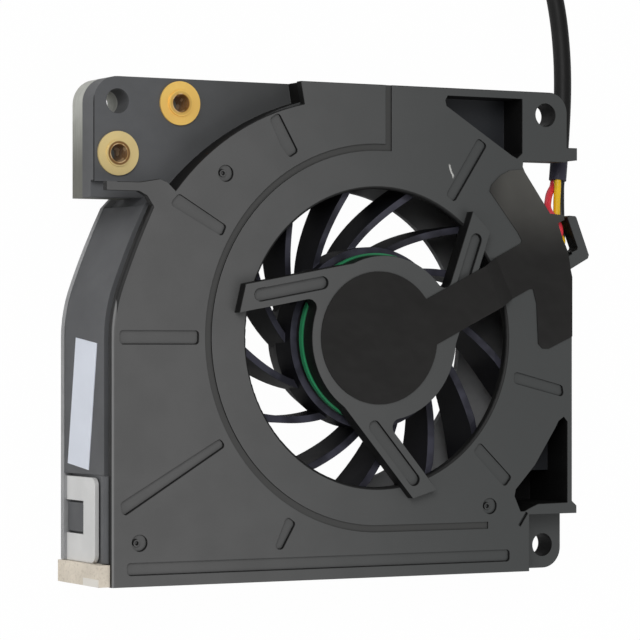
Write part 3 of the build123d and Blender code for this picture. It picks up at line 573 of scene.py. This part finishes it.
@dataclass(frozen=True)
class BladeFinish(Finish):
    """Glossy moulding with a painted bluish highlight on its upward faces."""

    TOP_HIGHLIGHT_TONE: ClassVar[str] = "44444f"

    def colour(self, graph: Graph) -> Any:
        """Returns near black that turns blue grey on upward faces, a painted highlight in
        streaks.

        Args:
            graph: the material's graph.
        """
        # painted highlight on upward faces, broken into streaks
        upper = graph.facing(Z).ramp(0.7, 0.95)
        streak = graph.noise(260.0, 2.0).ramp(0.35, 0.65) * 0.6 + 0.3
        return graph.blend(upper * streak, super().colour(graph), srgb(self.TOP_HIGHLIGHT_TONE))


@dataclass(frozen=True)
class BoardFinish(Finish):
    """Circuit board with a green rim, near black inside under a painted shadow of the hub."""

    HUB_SHADOW_TONE: ClassVar[str] = "030a07"

    rim: Pair = (11.7, 11.95)

    def colour(self, graph: Graph) -> Any:
        """Returns the painted hub shadow, near black, that turns green at the rim.

        Args:
            graph: the material's graph.
        """
        # painted shadow of the hub over all but the board's rim
        rim = graph.distance().ramp(*self.rim)
        return graph.blend(rim, srgb(self.HUB_SHADOW_TONE), super().colour(graph))


@dataclass(frozen=True)
class InsertFinish(Finish):
    """Turned brass with turning rings and a threaded bore, darker with painted shade and with
    painted glints.
    """

    RIM_TONE: ClassVar[str] = "6b3d10"
    BORE_SHADE_TONE: ClassVar[str] = "7a3c0a"
    GLINT_TONE: ClassVar[str] = "ffe0b0"

    centre: Pair = (0.0, 0.0)
    rim_amount: float = 0.3
    bore_radius: float = 1.3
    thread_pitch: float = 0.5

    def colour(self, graph: Graph) -> Any:
        """Returns brass that turns orange brown in the bore as painted shade, with painted
        glints there.

        Args:
            graph: the material's graph.
        """
        radius = graph.distance(self.centre)
        inner = 1 - radius.ramp(1.2, 1.45)
        rim = radius.ramp(1.28, 1.4) * (1 - radius.ramp(1.55, 1.75))
        tone = graph.blend(rim * self.rim_amount, super().colour(graph), srgb(self.RIM_TONE))
        # painted shade in the bore
        tone = graph.blend(inner * 0.85, tone, srgb(self.BORE_SHADE_TONE))
        # painted glints on the bore's walls
        glint = graph.noise(900.0, 1.0, (1.0, 1.0, 0.5)).ramp(0.52, 0.6) * inner
        return graph.blend(glint * 0.8, tone, srgb(self.GLINT_TONE))

    def relief(self, graph: Graph) -> Value:
        """Returns turning rings on the face and thread rings in the bore.

        Args:
            graph: the material's graph.
        """
        radius = graph.distance(self.centre)
        rings = (radius * 62.0).sine() * 0.5 + 0.5
        turns = graph.axis(Z) * (2 * math.pi / self.thread_pitch)
        thread = turns.sine() * 0.5 + 0.5
        inner = radius < self.bore_radius
        height = thread * inner * 12.0 + rings * (1 - inner) * 0.5
        return graph.bump(height, self.grain_depth, super().relief(graph))


@dataclass(frozen=True)
class TapeFinish(Finish):
    """Thin film tape with soft wrinkles and a painted sheen on its upper arm."""

    SHEEN_TONE: ClassVar[str] = "5a5955"

    sheen_x: Pair = (16.0, 22.0)
    sheen_y: Pair = (11.0, 23.0)

    def colour(self, graph: Graph) -> Any:
        """Returns near black that turns grey toward the upper arm, a painted sheen in clouds.

        Args:
            graph: the material's graph.
        """
        plain = super().colour(graph)
        # painted sheen on the upper arm
        sheen = graph.axis(Y).ramp(*self.sheen_y) * graph.axis(X).ramp(*self.sheen_x)
        cloud = graph.noise(120.0, 3.0) * 0.5 + 0.5
        return graph.blend(sheen * cloud, plain, srgb(self.SHEEN_TONE))

    def relief(self, graph: Graph) -> Value:
        """Returns broad wrinkles over the fine grain.

        Args:
            graph: the material's graph.
        """
        return graph.bump(graph.noise(170.0, 2.0), 0.22, super().relief(graph))


@dataclass(frozen=True)
class SheetFinish(Finish):
    """Brushed sheet metal, duller along its fold."""

    FOLD_TONE: ClassVar[str] = "8d8e90"

    fold_top: float = 1.5

    def colour(self, graph: Graph) -> Any:
        """Returns pale metal that turns grey at the fold.

        Args:
            graph: the material's graph.
        """
        fold = 1 - graph.axis(Z).ramp(self.fold_top - 0.1, self.fold_top + 0.1)
        worn = graph.noise(420.0, 4.0) * 0.3 + 0.7
        return graph.blend(fold * worn, super().colour(graph), srgb(self.FOLD_TONE))


@dataclass(frozen=True)
class SleeveFinish(Finish):
    """Woven black sleeve with a blue grey shrunk end."""

    END_TONE: ClassVar[str] = "3c3b48"

    shrunk_end: Pair = (26.6, 26.9)

    def colour(self, graph: Graph) -> Any:
        """Returns black with the end section paler and bluish.

        Args:
            graph: the material's graph.
        """
        end = 1 - graph.axis(Y).ramp(*self.shrunk_end)
        return graph.blend(end, super().colour(graph), srgb(self.END_TONE))


@dataclass(frozen=True)
class LayerFinish(Finish):
    """Pale metal edge with fine layered striations."""

    LINE_TONE: ClassVar[str] = "76766f"
    LOW_TONE: ClassVar[str] = "6c6c64"

    low_end: Pair = (22.0, 34.5)

    def colour(self, graph: Graph) -> Any:
        """Returns grey with darker thin lines.

        Args:
            graph: the material's graph.
        """
        lines = graph.noise(2600.0, 2.0, Grain.LAYERED.value).ramp(0.42, 0.7)
        layered = graph.blend(lines * 0.45, super().colour(graph), srgb(self.LINE_TONE))
        low = 1 - graph.axis(Y).ramp(*self.low_end)
        return graph.blend(low, layered, srgb(self.LOW_TONE))


@dataclass(frozen=True)
class FoamFinish(Finish):
    """Open foam with dark pores."""

    PORE_TONE: ClassVar[str] = "8d8272"

    def colour(self, graph: Graph) -> Any:
        """Returns cream with pores.

        Args:
            graph: the material's graph.
        """
        pores = graph.noise(2400.0, 2.0).ramp(0.5, 0.7)
        return graph.blend(pores * 0.22, super().colour(graph), srgb(self.PORE_TONE))


CASING = CasingFinish(
    "casing_plastic", "595959", 0.56,
    specular=0.35,
    blotch=0.05,
    grain_scale=5200.0,
    grain_depth=0.014,
    round_edge=0.1,
)
SCROLL = ScrollFinish(
    "scroll_plastic", "595a5c", 0.46,
    specular=0.2,
    blotch=0.08,
    grain_scale=3800.0,
    grain_depth=0.012,
    round_edge=0.12,
)
BLADES = BladeFinish(
    "impeller_plastic", "17171b", 0.4,
    specular=0.12,
    blotch=0.12,
    grain_depth=0.01,
    round_edge=0.12,
)
SPACER = LayerFinish(
    "bare_aluminium", "c2c3bc", 0.5,
    metallic=0.2,
    grain=Grain.LAYERED,
    grain_depth=0.03,
)
SHEET = SheetFinish(
    "cover_sheet", "d9d9d8", 0.4,
    metallic=0.2,
    grain=Grain.ALONG_Y,
    blotch=0.05,
    grain_depth=0.006,
    round_edge=0.12,
)
BRASS_UP = InsertFinish(
    "brass_upper", "ffcf70", 0.32,
    metallic=0.3,
    specular=0.25,
    blotch=0.06,
    grain_depth=0.01,
    centre=(-29.5, 32.5),
)
BRASS_LOW = InsertFinish(
    "brass_lower", "e2cb90", 0.36,
    metallic=0.3,
    specular=0.25,
    blotch=0.06,
    grain_depth=0.01,
    centre=(-38.9, 25.3),
    rim_amount=0.9,
)
TAPE = TapeFinish(
    "black_tape", "1a1918", 0.42,
    specular=0.3,
    blotch=0.08,
    grain_scale=2500.0,
    grain_depth=0.004,
)
FOAM = FoamFinish("cream_foam", "e2d8c8", 0.9, grain_scale=1800.0, grain_depth=0.08)
PAPER = Finish("label_paper", "dbe0ea", 0.5, blotch=0.03, grain_depth=0.004)
LINER = Finish("foam_liner", "e6e2da", 0.6, blotch=0.03, grain_depth=0.004)
BOARD = BoardFinish("board_green", "2a8a5a", 0.35, coat=0.3, blotch=0.15, grain_depth=0.008)
CHIP = Finish("chip_black", "1b1b1d", 0.5)
STEEL = Finish(
    "core_steel", "8c8f92", 0.34,
    metallic=1.0,
    grain=Grain.LAYERED,
    grain_depth=0.01,
)
BRONZE = Finish("bearing_bronze", "93703f", 0.45, metallic=0.9)
COPPER = Finish(
    "coil_copper", "b0602c", 0.35,
    metallic=0.7,
    grain=Grain.LAYERED,
    grain_depth=0.05,
)
MAGNET = Finish("magnet_black", "2d2d30", 0.6)
NYLON = Finish(
    "connector_plastic", "e8e5da", 0.45,
    blotch=0.04,
    grain_depth=0.006,
    round_edge=0.1,
)
CONTACT = Finish("contact_metal", "c9c4b4", 0.3, metallic=0.9)
RED = Finish("wire_red", "e93a48", 0.4, blotch=0.06, grain_depth=0.006)
YELLOW = Finish("wire_yellow", "fccb1c", 0.4, blotch=0.05, grain_depth=0.006)
BLACK = Finish("wire_black", "17181b", 0.42, blotch=0.06, grain_depth=0.006)
SLEEVE = SleeveFinish(
    "sleeve_black", "141414", 0.5,
    specular=0.25,
    blotch=0.1,
    grain_scale=3000.0,
    grain_depth=0.02,
)


@dataclass
class Dresser:
    """Gives finishes to CAD nodes and keeps each material once."""

    nodes: dict[str, bpy.types.Object]
    made: dict[str, bpy.types.Material] = field(default_factory=dict)

    def material(self, finish: Finish) -> bpy.types.Material:
        """Returns the material of a finish.

        Args:
            finish: the finish.
        """
        if finish.name not in self.made:
            self.made[finish.name] = finish.build()
        return self.made[finish.name]

    def put(self, piece: bpy.types.Object, finish: Finish, slot: str) -> None:
        """Gives one object its material.

        Args:
            piece: the object.
            finish: its finish.
            slot: not used.
        """
        piece.data.materials.clear()
        piece.data.materials.append(self.material(finish))

    def dress(self, finish: Finish, slot: str, *names: str) -> None:
        """Gives CAD nodes a finish.

        Args:
            finish: the finish.
            slot: the record's material slot.
            names: node names.
        """
        for name in names:
            self.put(self.nodes[name], finish, slot)
            log.info("dressed %s with %s", name, finish.name)


@dataclass(frozen=True)
class Lamp:
    """A soft square light: place and width in metres, power in watts."""

    name: str
    spot: Triple
    size: float
    power: float


@dataclass
class Studio:
    """Camera, floor and lights.

    The eye, lens and sensor are in millimetres, the turn is in degrees and the
    rise is a share of the sensor. The floor's reach and drop and the lamps' aim
    are in metres. Greys, glows and the surround have no unit.
    """

    eye: Triple = (-210.4, -1.65, 389.4)
    turn: float = 28.2
    lens: float = 170.0
    sensor: float = 36.0
    rise: float = 0.04625
    floor_reach: float = 3.0
    floor_drop: float = 0.0001
    floor_greys: Pair = (0.8, 0.82)
    floor_glow: float = 0.985
    mirror_glow: float = 0.2
    surround: float = 0.3
    aim: Triple = (0, 0, 0.01)
    lamps: tuple[Lamp, ...] = (
        Lamp("key", (-0.45, 0.35, 0.75), 0.5, 4.2),
        Lamp("fill", (0.4, -0.5, 0.8), 0.7, 2.4),
        Lamp("side", (-0.8, -0.1, 0.2), 0.4, 1.0),
    )

    def camera(self) -> None:
        """Places the camera and makes it the scene's."""
        data = bpy.data.cameras.new("camera")
        data.lens = self.lens
        data.sensor_width = self.sensor
        data.shift_y = self.rise
        data.dof.use_dof = False
        data.clip_start = 0.01
        camera = bpy.data.objects.new("camera", data)
        angle = math.radians(self.turn)
        right = Vector((math.cos(angle), 0, math.sin(angle)))
        up = Vector((0, 1, 0))
        back = right.cross(up)
        turn = Matrix((right, up, back)).transposed().to_4x4()
        camera.matrix_world = Matrix.Translation(Vector(self.eye) * MM) @ turn
        bpy.context.scene.collection.objects.link(camera)
        bpy.context.scene.camera = camera
        log.info("camera placed")

    def floor(self) -> None:
        """Makes the floor, white to the camera yet holding a faint shadow."""
        mesh = bpy.data.meshes.new("floor")
        far = self.floor_reach
        corners = [(-far, -far, 0), (far, -far, 0), (far, far, 0), (-far, far, 0)]
        mesh.from_pydata(corners, [], [(0, 1, 2, 3)])
        plane = bpy.data.objects.new("floor", mesh)
        plane.location.z = -self.floor_drop
        bpy.context.scene.collection.objects.link(plane)
        graph = Graph("floor")
        dark, pale = ((grey, grey, grey) for grey in self.floor_greys)
        tint = graph.blend(graph.noise(6.0), dark, pale)
        diffuse = graph.node("ShaderNodeBsdfDiffuse", {}, {"Color": tint})
        white = {"Color": (1, 1, 1), "Strength": 1.0}
        glow = graph.node("ShaderNodeEmission", {}, white)
        seen, mirrored, through = (
            graph.node("ShaderNodeLightPath", {}, {}, ray)
            for ray in ("Is Camera Ray", "Is Glossy Ray", "Is Transmission Ray")
        )
        bright = (seen + mirrored * self.mirror_glow + through).ramp(0.0, 1.0)
        shown = bright * self.floor_glow
        mixed = graph.node("ShaderNodeMixShader", {}, {0: shown, 1: diffuse, 2: glow})
        graph.node("ShaderNodeOutputMaterial", {}, {"Surface": mixed})
        mesh.materials.append(graph.material)

    def hang(self, lamp: Lamp) -> None:
        """Adds a light aimed at the part.

        Args:
            lamp: the light's values.
        """
        data = bpy.data.lights.new(lamp.name, "AREA")
        data.size = lamp.size
        data.energy = lamp.power
        light = bpy.data.objects.new(lamp.name, data)
        light.location = lamp.spot
        ray = Vector(self.aim) - Vector(lamp.spot)
        light.rotation_euler = ray.to_track_quat("-Z", "Y").to_euler()
        bpy.context.scene.collection.objects.link(light)

    def light(self) -> None:
        """Adds the soft studio lights and the pale surround."""
        for lamp in self.lamps:
            self.hang(lamp)
        world = bpy.data.worlds.new("surround")
        world.use_nodes = True
        sky = world.node_tree.nodes["Background"]
        sky.inputs["Color"].default_value = (1, 1, 1, 1)
        sky.inputs["Strength"].default_value = self.surround
        bpy.context.scene.world = world
        bpy.context.scene.view_settings.view_transform = "Standard"

    def build(self) -> None:
        """Builds the floor and the lights."""
        self.floor()
        self.light()
        log.info("studio built")


@dataclass
class Lead:
    """The sleeved lead with its connector. Lengths are in millimetres."""

    dresser: Dresser
    radius: float = 1.3
    length: float = 66.5
    route: tuple[Triple, ...] = (
        (33.3, 23.5, 9.7),
        (34.4, 32.5, 9.3),
        (35.6, 42.0, 7.6),
        (36.2, 51.5, 4.7),
        (35.2, 61.0, 1.35),
        (30.8, 69.5, 1.35),
        (23.0, 75.0, 1.35),
        (14.0, 76.3, 1.35),
    )

    def build(self) -> None:
        """Makes the sleeve as a curve along the same points as the CAD tube.

        The bevel is 1 and each point's radius is in metres, because the
        curve's box reaches past its points by that radius.
        """
        data = bpy.data.curves.new("sleeve", "CURVE")
        data.dimensions = "3D"
        data.bevel_depth = 1.0
        data.bevel_resolution = 8
        data.resolution_u = 16
        data.use_fill_caps = True
        line = data.splines.new("NURBS")
        line.points.add(len(self.route) - 1)
        for point, spot in zip(line.points, self.route):
            point.co = (*(c * MM for c in spot), 1.0)
            point.radius = self.radius * MM
        line.order_u = 3
        line.use_endpoint_u = True
        sleeve = bpy.data.objects.new("sleeve", data)
        bpy.context.scene.collection.objects.link(sleeve)
        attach(sleeve, "housing")
        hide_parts("lead_sleeve")
        self.dresser.put(sleeve, SLEEVE, "sleeve_black")
        2 * self.radius * MM
        log.info("lead built")

    def dress(self) -> None:
        """Dresses the wires and the connector."""
        self.dresser.dress(RED, "wire_red", "wire_red", "lead_red")
        self.dresser.dress(YELLOW, "wire_yellow", "wire_yellow", "lead_yellow")
        self.dresser.dress(BLACK, "wire_black", "wire_black", "lead_black")
        self.dresser.dress(NYLON, "connector_plastic", "connector_housing")
        self.dresser.dress(CONTACT, "contact_metal", "connector_contacts")


@dataclass
class Casing:
    """Mouldings, cover, inserts, tape, foam and label."""

    dresser: Dresser

    def dress(self) -> None:
        """Dresses the casing's pieces."""
        self.dresser.dress(CASING, "casing_plastic", "front_casing")
        self.dresser.dress(SCROLL, "casing_plastic", "scroll_casing")
        self.dresser.dress(SPACER, "bare_aluminium", "corner_spacer")
        self.dresser.dress(SHEET, "cover_sheet", "rear_cover")
        self.dresser.dress(BRASS_UP, "insert_brass", "insert_upper")
        self.dresser.dress(BRASS_LOW, "insert_brass", "insert_lower")
        self.dresser.dress(TAPE, "black_tape", "hub_tape")
        self.dresser.dress(FOAM, "cream_foam", "outlet_foam")
        self.dresser.dress(LINER, "label_paper", "foam_backing")
        self.dresser.dress(PAPER, "label_paper", "side_label")


@dataclass
class Motor:
    """The fixed motor parts under the hub."""

    dresser: Dresser

    def dress(self) -> None:
        """Dresses the motor's fixed pieces."""
        self.dresser.dress(BOARD, "board_green", "motor_board")
        self.dresser.dress(CHIP, "chip_black", "hall_driver", "thrust_pad")
        self.dresser.dress(BRASS_UP, "insert_brass", "bearing_tube")
        self.dresser.dress(BRONZE, "bearing_bronze", "bearing_sleeve")
        self.dresser.dress(STEEL, "core_steel", "stator_core")
        self.dresser.dress(NYLON, "connector_plastic", "insulator_front", "insulator_rear")
        self.dresser.dress(COPPER, "coil_copper", "stator_coils")


@dataclass
class Rotor:
    """The turning parts."""

    dresser: Dresser

    def dress(self) -> None:
        """Dresses the rotor's pieces."""
        self.dresser.dress(BLADES, "impeller_plastic", "impeller")
        self.dresser.dress(STEEL, "core_steel", "rotor_yoke", "rotor_shaft")
        self.dresser.dress(MAGNET, "magnet_black", "magnet_ring")


def main() -> None:
    """Builds the whole scene in order."""
    logging.basicConfig(level=logging.INFO)
    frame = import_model()
    dresser = Dresser(frame["nodes"])
    studio = Studio()
    studio.camera()
    lead = Lead(dresser)
    lead.build()
    lead.dress()
    studio.build()
    Casing(dresser).dress()
    Motor(dresser).dress()
    Rotor(dresser).dress()


if __name__ == "__main__":
    main()
